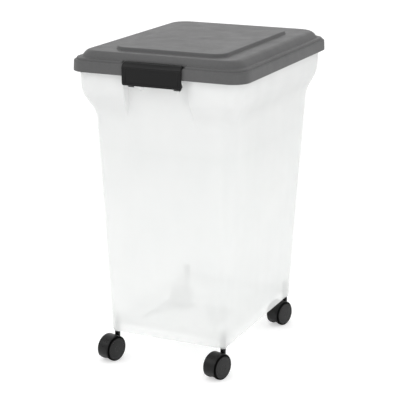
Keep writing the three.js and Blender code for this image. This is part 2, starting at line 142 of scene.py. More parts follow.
def ring(sec, front_x=(), along_x=12, along_y=16):
    """Points of a section, from the left end of its front edge round by the right. front_x are fixed
    places on the front edge, for a feature that keeps its width while the section grows."""
    z, half_x, front, back, radius, middle = sec
    reach_x = half_x - radius
    if front_x:
        outer = [reach_x + (front_x[-1] - reach_x) * i / BEYOND_STEPS for i in range(BEYOND_STEPS)]
        right = sorted(outer + [x for x in front_x if x > 0])
        xs = [-x for x in reversed(right)] + [0.0] + right
    else:
        xs = [reach_x * (2 * i / along_x - 1) for i in range(along_x + 1)]
    low, high = front + radius, back - radius
    ys = [low + (high - low) * i / along_y for i in range(along_y + 1)]
    back_xs = [reach_x * (1 - 2 * i / along_x) for i in range(along_x + 1)]
    points = [(x, front) for x in xs]

    def corner(cx, cy, start):
        for i in range(1, CORNER_STEPS):
            angle = start + math.pi / 2 * i / CORNER_STEPS
            points.append((cx + radius * math.cos(angle), cy + radius * math.sin(angle)))

    corner(reach_x, low, -math.pi / 2)
    points.extend((half_x, y) for y in ys)
    corner(reach_x, high, 0)
    points.extend((x, back) for x in back_xs)
    corner(-reach_x, high, math.pi / 2)
    points.extend((-half_x, y) for y in reversed(ys))
    corner(-reach_x, low, math.pi)
    return [Vector((middle + x, y, z)) for x, y in points]


def grid_faces(rows, count, closed=False):
    faces = []
    for level in range(rows if closed else rows - 1):
        nxt = (level + 1) % rows
        for i in range(count):
            j = (i + 1) % count
            faces.append((level * count + i, level * count + j, nxt * count + j, nxt * count + i))
    return faces


def shell(rings):
    """A closed body through rings, the first and last of which are filled."""
    count = len(rings[0])
    verts = [p for loop in rings for p in loop]
    faces = grid_faces(len(rings), count)
    faces.append(tuple(reversed(range(count))))
    top = (len(rings) - 1) * count
    faces.append(tuple(top + i for i in range(count)))
    return verts, faces


def hoop(rings):
    """A closed ring-shaped body: the last ring joins the first."""
    return [p for loop in rings for p in loop], grid_faces(len(rings), len(rings[0]), closed=True)


def cylinder(radius, low, high):
    """The profile of a plain cylinder, for lathe."""
    return [(0, low), (radius, low), (radius, high), (0, high)]


def lathe(profile, segments):
    """A body turned about Z from (radius, z) points, the first and last of them on the axis."""
    verts, faces = [Vector((0, 0, profile[0][1]))], []
    inner = profile[1:-1]
    for r, z in inner:
        for i in range(segments):
            angle = 2 * math.pi * i / segments
            verts.append(Vector((r * math.cos(angle), r * math.sin(angle), z)))
    verts.append(Vector((0, 0, profile[-1][1])))
    last = len(verts) - 1
    for i in range(segments):
        j = (i + 1) % segments
        faces.append((0, 1 + j, 1 + i))
        for level in range(len(inner) - 1):
            a = 1 + level * segments
            faces.append((a + i, a + j, a + segments + j, a + segments + i))
        a = 1 + (len(inner) - 1) * segments
        faces.append((a + i, a + j, last))
    return verts, faces


def prism(outline, x0, x1, between=()):
    """A YZ outline run along X, with further slices at these shares of its length."""
    count = len(outline)
    verts = []
    for share in (0, *between, 1):
        x = x0 + (x1 - x0) * share
        verts.extend(Vector((x, y, z)) for y, z in outline)
    last = len(between) + 1
    faces = grid_faces(last + 1, count)
    faces.append(tuple(reversed(range(count))))
    faces.append(tuple(last * count + i for i in range(count)))
    return verts, faces


def softened_outline(points, steps=CURVE_STEPS):
    """A closed 2D outline from (a, b, trim) points, its corners turned into curves."""
    out = []
    count = len(points)
    for i, (a, b, trim) in enumerate(points):
        here = Vector((a, b))
        if trim <= 0:
            out.append((a, b))
            continue
        before = Vector(points[i - 1][:2])
        after = Vector(points[(i + 1) % count][:2])
        start = here + (before - here) * min(trim / (before - here).length, MOST_TRIM)
        end = here + (after - here) * min(trim / (after - here).length, MOST_TRIM)
        for k in range(steps + 1):
            t = k / steps
            p = start.lerp(here, t).lerp(here.lerp(end, t), t)
            out.append((p.x, p.y))
    return out


# ------------------------------------------------------------------ meshes


def to_bmesh(verts, faces):
    bm = bmesh.new()
    made = [bm.verts.new(v) for v in verts]
    for f in faces:
        bm.faces.new([made[i] for i in f])
    bmesh.ops.remove_doubles(bm, verts=bm.verts[:], dist=MERGE)
    bmesh.ops.dissolve_degenerate(bm, dist=MERGE, edges=bm.edges[:])
    bmesh.ops.recalc_face_normals(bm, faces=bm.faces[:])
    return bm


def solid(verts, faces, bevel=0.0, segments=2):
    """A body whose sharp edges are rounded by the bevel, if there is one."""
    bm = to_bmesh(verts, faces)
    if bevel:
        sharp = [e for e in bm.edges if e.is_manifold and e.calc_face_angle(0) > SHARP_ANGLE]
        bmesh.ops.bevel(bm, geom=sharp, offset=bevel, segments=segments, profile=0.5, affect="EDGES",
                        clamp_overlap=True)
    return bm


def moved(bm, matrix):
    bm.transform(matrix)
    return bm


def as_object(bm, name):
    mesh = bpy.data.meshes.new(name)
    bm.to_mesh(mesh)
    bm.free()
    obj = bpy.data.objects.new(name, mesh)
    bpy.context.scene.collection.objects.link(obj)
    return obj


def combined(base, others, operation):
    """base with each of the other bodies added or cut, as one bmesh. All of them are used up."""
    target = as_object(base, "work")
    tools = []
    for body in others:
        tool = as_object(body, "tool")
        tools.append(tool)
        step = target.modifiers.new("step", "BOOLEAN")
        step.operation = operation
        step.solver = "EXACT"
        step.object = tool
    bpy.context.view_layer.update()
    depsgraph = bpy.context.evaluated_depsgraph_get()
    mesh = bpy.data.meshes.new_from_object(target.evaluated_get(depsgraph), depsgraph=depsgraph)
    out = bmesh.new()
    out.from_mesh(mesh)
    bpy.data.meshes.remove(mesh)
    for obj in [target, *tools]:
        data = obj.data
        bpy.data.objects.remove(obj)
        bpy.data.meshes.remove(data)
    bmesh.ops.remove_doubles(out, verts=out.verts[:], dist=MERGE_CUT)
    bmesh.ops.dissolve_degenerate(out, dist=MERGE_CUT, edges=out.edges[:])
    return out


def joined(base, *others):
    return combined(base, others, "UNION")


def carved(base, *others):
    return combined(base, others, "DIFFERENCE")


def piece(bm, name, body, materials, replaced):
    """A finished piece in metres, riding on its body in place of one CAD node."""
    bm.transform(Matrix.Scale(MM, 4))
    for edge in bm.edges:
        edge.smooth = not (edge.is_manifold and edge.calc_face_angle(0) > SMOOTH_ANGLE)
    for face in bm.faces:
        face.smooth = True
    obj = as_object(bm, name)
    for material in materials:
        obj.data.materials.append(material)
    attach(obj, body)
    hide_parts(replaced)


def smoothstep(low, high, value):
    t = min(max((value - low) / (high - low), 0.0), 1.0)
    return t * t * (3 - 2 * t)


def wobble(p, size, per_mm, seed):
    """The slow unevenness of moulded walls. Another seed gives another pattern."""
    return size * noise.noise(Vector((p.x * per_mm + seed, p.y * per_mm, p.z * per_mm)))


# ------------------------------------------------------------------ node materials

# The part of a noise's range that slow changes are spread over, and the pointiness of outward edges that
# are made paler, by rubbed wear and by a painted highlight.
SLOW = (0.3, 0.7)
WORN_AND_HIGHLIT = (0.53, 0.62)


class Nodes:
    """Short names for building one node material. Noise scales are in cycles to the metre, and bump
    distances in metres."""

    def __init__(self, name):
        self.material = bpy.data.materials.new(name)
        self.material.use_nodes = True
        self.tree = self.material.node_tree
        self.tree.nodes.clear()
        self.output = self.tree.nodes.new("ShaderNodeOutputMaterial")
        self.place = self.tree.nodes.new("ShaderNodeTexCoord").outputs["Object"]

    def add(self, kind, **inputs):
        node = self.tree.nodes.new(kind)
        for key, value in inputs.items():
            self.set(node, key.replace("_", " "), value)
        return node

    def set(self, node, key, value):
        socket = node.inputs[key]
        if isinstance(value, bpy.types.NodeSocket):
            self.tree.links.new(value, socket)
        else:
            socket.default_value = value

    def noise(self, scale, detail=3.0, roughness=0.5, stretch=None):
        """Noise over the piece, running longer along an axis with a stretch below 1."""
        place = self.place
        if stretch:
            mapping = self.add("ShaderNodeMapping", Vector=place, Scale=stretch)
            place = mapping.outputs["Vector"]
        node = self.add("ShaderNodeTexNoise", Vector=place, Scale=scale, Detail=detail,
                        Roughness=roughness)
        return node.outputs["Fac"]

    def ranged(self, value, low, high, to_low=0.0, to_high=1.0):
        """The value, with low to high spread over to_low to to_high and held at those ends."""
        node = self.add("ShaderNodeMapRange", Value=value)
        ends = {"From Min": low, "From Max": high, "To Min": to_low, "To Max": to_high}
        for key, number in ends.items():
            node.inputs[key].default_value = number
        return node.outputs["Result"]

    def math(self, operation, a, b):
        node = self.tree.nodes.new("ShaderNodeMath")
        node.operation = operation
        for i, value in enumerate((a, b)):
            if isinstance(value, bpy.types.NodeSocket):
                self.tree.links.new(value, node.inputs[i])
            else:
                node.inputs[i].default_value = value
        return node.outputs["Value"]

    def blend(self, amount, a, b):
        """A mix of two colours. The colour sockets of this node can only be told apart by number."""
        node = self.tree.nodes.new("ShaderNodeMix")
        node.data_type = "RGBA"
        for socket, value in ((node.inputs[0], amount), (node.inputs[6], a), (node.inputs[7], b)):
            if isinstance(value, bpy.types.NodeSocket):
                self.tree.links.new(value, socket)
            else:
                socket.default_value = value
        return node.outputs[2]

    def mixed(self, amount, a, b):
        """A mix of two shaders."""
        node = self.add("ShaderNodeMixShader", Fac=amount)
        self.tree.links.new(a, node.inputs[1])
        self.tree.links.new(b, node.inputs[2])
        return node.outputs["Shader"]

    def bump(self, height, strength, distance, normal=None):
        node = self.add("ShaderNodeBump", Height=height, Strength=strength, Distance=distance)
        if normal is not None:
            self.tree.links.new(normal, node.inputs["Normal"])
        return node.outputs["Normal"]

    def edges(self, low, high):
        """0 on flats, rising to 1 on outward edges."""
        pointiness = self.add("ShaderNodeNewGeometry").outputs["Pointiness"]
        return self.ranged(pointiness, low, high)

    def finish(self, shader):
        self.tree.links.new(shader, self.output.inputs["Surface"])
        return self.material


def grey(value, tint=(1.0, 1.0, 1.0)):
    return (value * tint[0], value * tint[1], value * tint[2], 1.0)


def moulded(name, value, tint, roughness, grain, specular, wear_and_highlight, coarse=420.0):
    """Moulded plastic of one grey value: slow colour drift, light specks, outward edges made paler by
    wear and by a painted highlight, areas that are duller or shinier, fine grain and a slow swell.
    wear_and_highlight is the most that an edge is made paler: a little for rubbed wear, a lot for a
    painted highlight."""
    darker, lighter, speckled, paler = 0.93, 1.07, 1.5, 2.1
    n = Nodes(name)
    drift = n.ranged(n.noise(7.0, 4.0), *SLOW)
    speck = n.ranged(n.noise(260.0, 2.0), 0.35, 0.65)
    base = n.blend(drift, grey(value * darker, tint), grey(value * lighter, tint))
    base = n.blend(n.math("MULTIPLY", speck, 0.12), base, grey(value * speckled, tint))
    # Outward edges are blended towards a paler grey: rubbed wear where wear_and_highlight is small, a
    # painted highlight along the edges where it is large.
    edges = n.edges(*WORN_AND_HIGHLIT)
    patches = n.ranged(n.noise(45.0, 4.0), 0.35, 0.7, 0.2, wear_and_highlight)
    edge_mask = n.math("MULTIPLY", edges, patches)
    base = n.blend(edge_mask, base, grey(min(value * paler + 0.02, 1.0), tint))
    dull = n.ranged(n.noise(28.0, 5.0, 0.6), *SLOW, roughness - 0.05, roughness + 0.06)
    rough = n.math("SUBTRACT", dull, n.math("MULTIPLY", edge_mask, 0.1))
    normal = n.bump(n.noise(coarse, 3.0, 0.6), grain, 0.0006)
    normal = n.bump(n.noise(14.0, 1.0), 0.06, 0.004, normal)
    shader = n.add("ShaderNodeBsdfPrincipled", Base_Color=base, Roughness=rough, Normal=normal,
                   Specular_IOR_Level=specular)
    return n.finish(shader.outputs["BSDF"])


def milky(name):
    """Natural polypropylene: about half of the light is scattered in the wall, the rest goes straight
    through. More is scattered in upright streaks and on rubbed edges, and from the shoulder up, where
    less is
    also lit through from inside: a painted brightening of the collar against the shade under the lid."""
    shoulder_z, collar_z = 0.43, 0.56
    dim, bright = (0.920, 0.925, 0.925, 1.0), (0.953, 0.956, 0.953, 1.0)
    clear = (0.970, 0.973, 0.970, 1.0)
    n = Nodes(name)
    cloud = n.ranged(n.noise(9.0, 4.0, 0.55), *SLOW)
    flow = n.ranged(n.noise(5.0, 3.0, 0.5, stretch=(1.0, 1.0, 0.18)), *SLOW)
    body = n.blend(cloud, dim, bright)
    edge_mask = n.edges(0.53, 0.64)
    rough = n.ranged(n.noise(30.0, 4.0), *SLOW, 0.30, 0.42)
    normal = n.bump(n.noise(300.0, 2.0), 0.05, 0.0005)
    normal = n.bump(n.noise(11.0, 1.0), 0.10, 0.004, normal)
    skin = n.add("ShaderNodeBsdfPrincipled", Base_Color=body, Roughness=rough, Normal=normal,
                 Specular_IOR_Level=0.45)
    inside = n.add("ShaderNodeBsdfTranslucent", Color=body, Normal=normal)
    # From the shoulder up the wall is made more opaque and more lit from outside: a painted brightening
    # of the collar, which the lid leaves in shade inside.
    height = n.add("ShaderNodeSeparateXYZ", Vector=n.place).outputs["Z"]
    collar_brightening = n.ranged(height, shoulder_z, collar_z)
    lit_through = n.ranged(collar_brightening, 0.0, 1.0, 0.55, 0.34)
    scatter = n.mixed(lit_through, skin.outputs["BSDF"], inside.outputs["BSDF"])
    through = n.add("ShaderNodeBsdfTransparent", Color=clear)
    amount = n.ranged(flow, 0.0, 1.0, 0.52, 0.45)
    amount = n.math("ADD", amount, n.math("MULTIPLY", edge_mask, 0.25))
    amount = n.math("ADD", amount, n.math("MULTIPLY", collar_brightening, 0.16))
    return n.finish(n.mixed(amount, through.outputs["BSDF"], scatter))


def plated(name):
    """Zinc-plated steel with turning marks and a few dull spots."""
    n = Nodes(name)
    bright, dull = (0.56, 0.565, 0.575, 1.0), (0.42, 0.425, 0.43, 1.0)
    spots = n.ranged(n.noise(90.0, 5.0, 0.6), 0.4, 0.65)
    base = n.blend(spots, bright, dull)
    lines = n.noise(900.0, 2.0, stretch=(0.05, 0.05, 1.0))
    rough = n.ranged(spots, 0.0, 1.0, 0.24, 0.42)
    normal = n.bump(lines, 0.12, 0.0003)
    shader = n.add("ShaderNodeBsdfPrincipled", Base_Color=base, Metallic=1.0, Roughness=rough,
                   Normal=normal)
    return n.finish(shader.outputs["BSDF"])


def foam(name):
    """Closed-cell sealing strip: fine cells, matt, slightly dirty in places."""
    n = Nodes(name)
    clean, dirty = (0.42, 0.42, 0.41, 1.0), (0.33, 0.325, 0.31, 1.0)
    cells = n.add("ShaderNodeTexVoronoi", Vector=n.place, Scale=1400.0).outputs["Distance"]
    dirt = n.ranged(n.noise(35.0, 4.0), 0.4, 0.7)
    base = n.blend(dirt, clean, dirty)
    normal = n.bump(cells, 0.35, 0.0004)
    shader = n.add("ShaderNodeBsdfPrincipled", Base_Color=base, Roughness=0.88, Normal=normal)
    return n.finish(shader.outputs["BSDF"])


TUB = milky("tub_polypropylene")
# The lid's edges are made much paler: a painted highlight along the edges of plateau, step and skirt.
LID = moulded("lid_polypropylene", 0.088, (1.0, 1.0, 1.01), roughness=0.48, grain=0.22, specular=0.22,
              wear_and_highlight=0.95)
LATCH = moulded("latch_plastic", 0.005, (1.0, 1.0, 1.03), roughness=0.34, grain=0.10, specular=0.20,
                wear_and_highlight=0.9)
HOOD = moulded("hood_nylon", 0.004, (1.0, 1.0, 1.02), roughness=0.30, grain=0.12, specular=0.22,
               wear_and_highlight=0.25)
DISC = moulded("wheel_face_nylon", 0.013, (1.0, 1.0, 1.02), roughness=0.40, grain=0.12, specular=0.22,
               wear_and_highlight=0.25)
# Black tread, made darker and less shiny than the black nylon alone: its ring round the wheel's face is
# a painted shade of the groove between hood and wheel.
TREAD_AND_GROOVE_SHADE = moulded("wheel_tread_and_groove_shade", 0.0012, (1.0, 1.0, 1.0), roughness=0.6, grain=0.30, specular=0.02,
                wear_and_highlight=0.05, coarse=900.0)
STEEL = plated("plated_steel")
FOAM = foam("seal_foam")

# ------------------------------------------------------------------ tub

WALL = 2.4
FOOT = section(60, 122.6, -176.6, 176.6, 20)
SHOULDER = section(497, 144, -192, 205.5, 26)
COLLAR_LOW = section(536, 164.5, -211.5, 211.5, 27)
COLLAR_HIGH = section(589, 166, -213, 213, 27)
FLANGE_LOW_Z = 586.4
RIM_OUT = even(FLANGE_LOW_Z, 170.8, 31)
FLOOR_LOW_Z = 73
FLOOR_TOP_Z = 76
POCKET_HALF = 64.5
POCKET_ROOF_Z = 579
POCKET_SLOPE = (SHOULDER[2] - FOOT[2]) / (SHOULDER[0] - FOOT[0])
POCKET_X = (12, 24, 36, 48, 56, 60, 62, 63, 63.7, 64.2, 64.7, 65.2, 65.9, 66.6, 67.3, 68, 69, 71, 74, 78)
POCKET_LOW_Z = 480
POCKET_FRONT_OF = -150
POCKET_SIDE_EDGE = 1.1
POCKET_ROOF_EDGE = 1.4
FLARE = 5.0
FLARE_TOP_Z = 541
FLARE_HEIGHT = 44
FLARE_INNER_SHARE = 0.7
SWELL = 1.4
SWELL_LOW_Z = 90
SWELL_HIGH_Z = 480
# Where a point counts as lying on a side wall, and half the wave that the wall swells by.
SIDE_X = 118
SIDE_REACH = 140
SIDE_WAVE = 300
# The same for the front and the back wall.
END_Y = 160
END_REACH = 100
END_WAVE = 215
CENTRE_HALF = 8
CENTRE_RADIUS = 4
FLOOR_STEP = 30
WALL_STEP = 14


def pocket_plane(z):
    return FOOT[2] + POCKET_SLOPE * (z - FOOT[0])


def pressed_in(p, outside):
    """Moves a point of the collar's front onto the pocket's back wall. The pocket's edges are soft,
    and its sides flare towards the foot."""
    if p.z < POCKET_LOW_Z or p.y > POCKET_FRONT_OF:
        return p
    wall = 0 if outside else WALL
    half = POCKET_HALF + wall
    roof = POCKET_ROOF_Z + wall
    target = pocket_plane(p.z) + wall
    if target <= p.y:
        return p
    spread = FLARE * max(0.0, min((FLARE_TOP_Z - p.z) / FLARE_HEIGHT, 1.0)) ** 2
    side_low = half - POCKET_SIDE_EDGE + spread * FLARE_INNER_SHARE
    across = 1 - smoothstep(side_low, half + POCKET_SIDE_EDGE + spread, abs(p.x))
    up = 1 - smoothstep(roof - POCKET_ROOF_EDGE, roof + POCKET_ROOF_EDGE, p.z)
    amount = across * up
    return Vector((p.x, p.y + (target - p.y) * amount, p.z))


def bowed(p):
    """Large flat walls swell a little between the corners."""
    if not SWELL_LOW_Z < p.z < SWELL_HIGH_Z:
        return p
    up = math.sin(math.pi * (p.z - SWELL_LOW_Z) / (SWELL_HIGH_Z - SWELL_LOW_Z))
    out = SWELL * up + wobble(p, 0.5, 0.012, 3.0)
    if abs(p.x) > SIDE_X and abs(p.y) < SIDE_REACH:
        side = math.cos(math.pi * p.y / SIDE_WAVE)
        return Vector((p.x + math.copysign(out * max(side, 0), p.x), p.y, p.z))
    if abs(p.y) > END_Y and abs(p.x) < END_REACH:
        side = math.cos(math.pi * p.x / END_WAVE)
        return Vector((p.x, p.y + math.copysign(out * max(side, 0), p.y), p.z))
    return p


def in_part(p):
    return Vector((p.x, p.y + MID_Y, p.z))


def centre_of(z):
    """The small section that a floor is closed with."""
    return section(z, CENTRE_HALF, -CENTRE_HALF, CENTRE_HALF, CENTRE_RADIUS)


def wall_at(z):
    return at_level(FOOT, SHOULDER, z)


def collar_at(z):
    return at_level(COLLAR_LOW, COLLAR_HIGH, z)


def tub_shell():
    """The tub's sections from the middle of the floor's underside, up the outside, over the rim and
    down the inside. The levels crowd together at the roof of the pocket."""
    roof_levels = (572, 575, 576.6, 577.4, 578, 578.5, 579, 579.5, 580, 580.6, 581.4, 582.4, 584)
    roof_levels_inside = (584.5, 583.6, 582.9, 582.3, 581.8, 581.3, 580.8, 580.3, 579.6, 578.8, 577.4,
                          575)
    under_floor = inset(wall_at(FLOOR_LOW_Z), WALL)
    floor_edge = inset(wall_at(FLOOR_TOP_Z), WALL)
    outside = softened([
        (centre_of(FLOOR_LOW_Z), 0),
        (under_floor, 1.2),
        (inset(FOOT, WALL), 0.9),
        (FOOT, 1.3),
        (SHOULDER, 13),
        (COLLAR_LOW, 13),
        (collar_at(570), 0),
    ])
    outside += [collar_at(z) for z in roof_levels]
    under_foot = 1 + 2 * (CURVE_STEPS + 1)
    outside = divided(outside[:under_foot], FLOOR_STEP) + divided(outside[under_foot:], WALL_STEP)
    top = softened([
        (collar_at(584), 0),
        (collar_at(FLANGE_LOW_Z), 0.8),
        (RIM_OUT, 0.8),
        (even(589, 170.8, 31), 0.8),
        (inset(COLLAR_HIGH, WALL), 0.6),
        (inset(collar_at(586), WALL), 0),
    ], 3)
    inside = [inset(collar_at(z), WALL) for z in roof_levels_inside]
    inside += softened([
        (inset(collar_at(570), WALL), 0),
        (inset(COLLAR_LOW, WALL, 537), 12),
        (inset(SHOULDER, WALL, 498), 12),
        (floor_edge, 5),
        (centre_of(FLOOR_TOP_Z), 0),
    ])
    inside = divided(inside, FLOOR_STEP)
    rings = []
    for sec in outside:
        rings.append([in_part(bowed(pressed_in(p, True))) for p in ring(sec, POCKET_X)])
    for sec in top[1:]:
        rings.append([in_part(p) for p in ring(sec, POCKET_X)])
    for sec in inside:
        rings.append([in_part(bowed(pressed_in(p, False))) for p in ring(sec, POCKET_X)])
    return solid(*shell(rings))


def round_bar(radius, x0, x1, y, z, bevel=0.0):
    """A bar along X. A plain one, without a bevel, is turned by BAR_TURN."""
    bm = solid(*lathe(cylinder(radius, x0, x1), BAR_SEGMENTS), bevel)
    if not bevel:
        bm.transform(Matrix.Rotation(BAR_TURN, 4, "Z"))
    bm.transform(Matrix.Rotation(math.pi / 2, 4, "Y"))
    bm.transform(Matrix.Translation((0, y, z)))
    return bm


def post(profile, x, y):
    return moved(solid(*lathe(profile, POST_SEGMENTS)), Matrix.Translation((x, y, 0)))


def stem_at(name):
    low, high = mm_box(f"{name}_caster_stem")
    return (low.x + high.x) / 2, (low.y + high.y) / 2


CORNERS = {name: stem_at(name) for name in ("front_left", "front_right", "rear_left", "rear_right")}

HINGE = joint_at("lid_hinge")
PIVOT = joint_at("latch_pivot")
HINGE_X = 95.0
KNUCKLE_W = 14.0
EAR_W = 6.0
GAP = 0.5
BARREL_R = 6.0
BORE_R = 2.5
BORE_PAST = 2
LATCH_BARREL_X = 46.0
LATCH_BARREL_W = 12.0
LATCH_BARREL_R = 4.7
LATCH_EAR_W = 5.5
STUB_R = 2.2
# Plates stop this far short of the end faces beside them, so that no two faces coincide.
PROUD = 0.25


def hinge_ear(x0):
    """An ear of the tub from x0 on, with a round nose about the hinge."""
    root = COLLAR_LOW[3] - WALL / 2 + MID_Y
    back = RIM_OUT[3] + MID_Y
    y, z = HINGE.y, HINGE.z
    outline = softened_outline([
        (root, z - 32, 0),
        (y + 4.2, z - 4.3, 3),
        (y, z, 0),
        (back + 6.4, z - 4, 2),
        (root, z - 4.4, 0),
    ])
    plate = solid(*prism(outline, x0 + PROUD, x0 + EAR_W - PROUD), 0.7)
    return joined(plate, round_bar(BARREL_R, x0, x0 + EAR_W, y, z, 0.7))


def latch_ear(side):
    """An ear just inside a barrel of the latch, with the stub that the barrel turns on."""
    y, z = PIVOT.y, PIVOT.z
    root = pocket_plane(z) + MID_Y + WALL / 2
    inner = LATCH_BARREL_X - LATCH_BARREL_W / 2 - GAP
    near = inner - LATCH_EAR_W if side > 0 else -inner
    outline = softened_outline([
        (root, z + LATCH_BARREL_R, 0),
        (y, z + LATCH_BARREL_R, 0),
        (y, z - LATCH_BARREL_R, 0),
        (y + 8, z - LATCH_BARREL_R, 5),
        (root, z - 15, 0),
    ])
    plate = solid(*prism(outline, near + PROUD, near + LATCH_EAR_W - PROUD), 0.6)
    nose = round_bar(LATCH_BARREL_R, near, near + LATCH_EAR_W, y, z, 0.6)
    tip = LATCH_BARREL_X + LATCH_BARREL_W / 2 - 1
    stub_x = (inner - 1, tip) if side > 0 else (-tip, 1 - inner)
    return joined(plate, nose, round_bar(STUB_R, *stub_x, y, z, 0.4))


def make_tub():
    socket = [(0, 57), (6.9, 57), (7.5, 57.7), (7.5, 90.6), (6.3, 92), (0, 92)]
    socket_bore = [(0, 50), (5.2, 50), (5.2, 88.6), (4.8, 89), (0, 89)]
    sockets = [post(socket, x, y) for x, y in CORNERS.values()]
    bores = [post(socket_bore, x, y) for x, y in CORNERS.values()]
    half = KNUCKLE_W / 2 + GAP
    reach = half + EAR_W + BORE_PAST
    ears, holes = [], []
    for side in (-1, 1):
        x = side * HINGE_X
        ears += [hinge_ear(x - half - EAR_W), hinge_ear(x + half), latch_ear(side)]
        holes.append(round_bar(BORE_R, x - reach, x + reach, HINGE.y, HINGE.z))
    body = joined(tub_shell(), *sockets, *ears)
    body = carved(body, *bores, *holes)
    piece(body, "tub", "bin", [TUB], "bin_body")


# ------------------------------------------------------------------ lid and seal

LID_WALL = 2.2
SKIRT_LOW = section(577.5, 176.4, -223, 223, 33)
SKIRT_HIGH = section(597, 175.6, -222.2, 222.2, 32.4)
LEDGE_OUT = section(598.3, 173.8, -220.6, 220.6, 31.2)
STEP_FOOT = section(598.2, 171.8, -218.8, 218.8, 31)
STEP_TOP = section(602.4, 171.0, -218.0, 218.0, 31)
LEDGE_IN = section(603.0, 164.2, -211.4, 211.4, 33)
PLATEAU_WALL = section(608, 161.8, -209.4, 209.2, 33)
PLATEAU_EDGE = section(613.6, 156.5, -206.8, 205.8, 32)
PLATEAU_TOP = section(616, 150.5, -203.6, 202.4, 30)
PANEL_X = 7.5
PANEL_FOOT = section(616, 113, -181.5, 145.5, 27, PANEL_X)
PANEL = section(622, 111, -179.5, 143.5, 25, PANEL_X)
STEP_X = (8, 16, 24, 32, 40, 48, 54, 58, 60, 61, 62, 63, 64, 65, 66, 68, 72)
NOTCH_X = -1.5
NOTCH_HALF = 63.5
NOTCH_Z = 598.6
NOTCH_KEEP = 0.1
NOTCH_FRONT_OF = -190
PANEL_MID_Y = (PANEL[2] + PANEL[3]) / 2
SAG = 1.1
SAG_FLAT = 0.25
# Which sections hold the step round the plateau, and which the top of the raised panel.
STEP_BAND = (598.4, 605)
STEP_LEAST_HALF = 163
PANEL_BAND_LOW = 618
PANEL_MOST_HALF = 110
LID_STEP = 9
LID_ALONG_Y = 44


def notched(p):
    """The step round the plateau is all but left out where the latch's lip lies."""
    if p.y > NOTCH_FRONT_OF or not NOTCH_Z < p.z < LEDGE_IN[0] + 1.5:
        return p
    amount = 1 - smoothstep(NOTCH_HALF - 0.8, NOTCH_HALF + 1.2, abs(p.x - NOTCH_X))
    level = NOTCH_Z + NOTCH_KEEP * (p.z - NOTCH_Z)
    return Vector((p.x, p.y, p.z + (level - p.z) * amount))


def sagging(p):
    """The raised panel sags a little towards its middle, as moulded lids do."""
    u = abs(p.x - PANEL_X) / PANEL[1]
    v = abs(p.y - PANEL_MID_Y) / ((PANEL[3] - PANEL[2]) / 2)
    dip = SAG * (1 - smoothstep(SAG_FLAT, 1.0, u)) * (1 - smoothstep(SAG_FLAT, 1.0, v))
    return Vector((p.x, p.y, p.z - dip + wobble(p, 0.12, 0.02, 9.0)))


def lid_knuckle(side):
    """A knuckle of the lid between two ears of the tub, carried by a plate from the skirt."""
    x0 = side * HINGE_X - KNUCKLE_W / 2
    y, z = HINGE.y, HINGE.z
    back = SKIRT_LOW[3] + MID_Y
    outline = softened_outline([
        (back - LID_WALL / 2, SKIRT_LOW[0] + 0.6, 0),
        (y, z - 3, 0),
        (y, z + BARREL_R, 0),
        (back - LID_WALL, z + 2 * BARREL_R, 0),
    ])
    plate = solid(*prism(outline, x0 + PROUD, x0 + KNUCKLE_W - PROUD), 0.7)
    return joined(plate, round_bar(BARREL_R, x0, x0 + KNUCKLE_W, y, z, 0.8))


def shrunk(sec, share):
    """A section of the raised panel, drawn in towards the panel's middle."""
    z, half_x, front, back, radius, x = sec
    front = PANEL_MID_Y + (front - PANEL_MID_Y) * share
    back = PANEL_MID_Y + (back - PANEL_MID_Y) * share
    return (z, half_x * share, front, back, max(radius * share, 0.4), x)


def lid_shell():
    """The lid's sections from the middle of the raised panel, out and down to the foot of the skirt,
    up its inside, round the seal rib and back to the middle."""
    centre_shares = (0.04, 0.12, 0.22, 0.33, 0.45, 0.57, 0.69, 0.8, 0.89, 0.95)
    outer = [shrunk(PANEL, share) for share in centre_shares]
    outer += softened([
        (shrunk(PANEL, 0.97), 0),
        (PANEL, 1.8),
        (PANEL_FOOT, 1.2),
        (PLATEAU_TOP, 4.0),
        (PLATEAU_EDGE, 2.4),
        (PLATEAU_WALL, 4.0),
        (LEDGE_IN, 1.6),
        (STEP_TOP, 1.5),
        (STEP_FOOT, 0.7),
        (LEDGE_OUT, 0.6),
        (SKIRT_HIGH, 2.4),
        (SKIRT_LOW, 0.8),
        (inset(SKIRT_LOW, LID_WALL), 0.8),
        (inset(SKIRT_HIGH, LID_WALL, 595.8), 1.0),
        (even(595.8, 162.4, 31.2), 0.5),
        (even(586, 162.2, 31), 0.7),
        (even(586, 160.4, 29.2), 0.7),
        (section(607, 159.6, -206.9, 206.7, 30.6), 3.0),
        (section(613.8, 149.4, -202.2, 201, 28), 1.5),
        (section(613.8, 144, -196.5, 195.5, 26), 0),
    ], 6)
    panel_under = inset(PANEL, LID_WALL, 619.8)
    inner = softened([
        (section(613.8, 142, -194.5, 193.5, 25, 1), 0),
        (inset(PANEL_FOOT, LID_WALL, 613.8), 1.0),
        (panel_under, 1.2),
        (shrunk(panel_under, 0.9), 0),
    ], 3)
    inner += [shrunk(panel_under, share) for share in (0.75, 0.5, 0.25, 0.04)]
    rings = []
    for sec in divided(outer, LID_STEP) + inner:
        z, half_x = sec[:2]
        points = ring(sec, STEP_X, along_y=LID_ALONG_Y)
        if STEP_BAND[0] < z < STEP_BAND[1] and half_x > STEP_LEAST_HALF:
            points = [notched(p) for p in points]
        if z > PANEL_BAND_LOW and half_x < PANEL_MOST_HALF:
            points = [sagging(p) for p in points]
        rings.append([in_part(p) for p in points])
    return solid(*shell(rings))


def make_lid():
    body = joined(lid_shell(), lid_knuckle(-1), lid_knuckle(1))
    half = KNUCKLE_W / 2 + BORE_PAST
    holes = [round_bar(BORE_R, x - half, x + half, HINGE.y, HINGE.z) for x in (-HINGE_X, HINGE_X)]
    piece(carved(body, *holes), "lid_moulding", "lid", [LID], "lid")


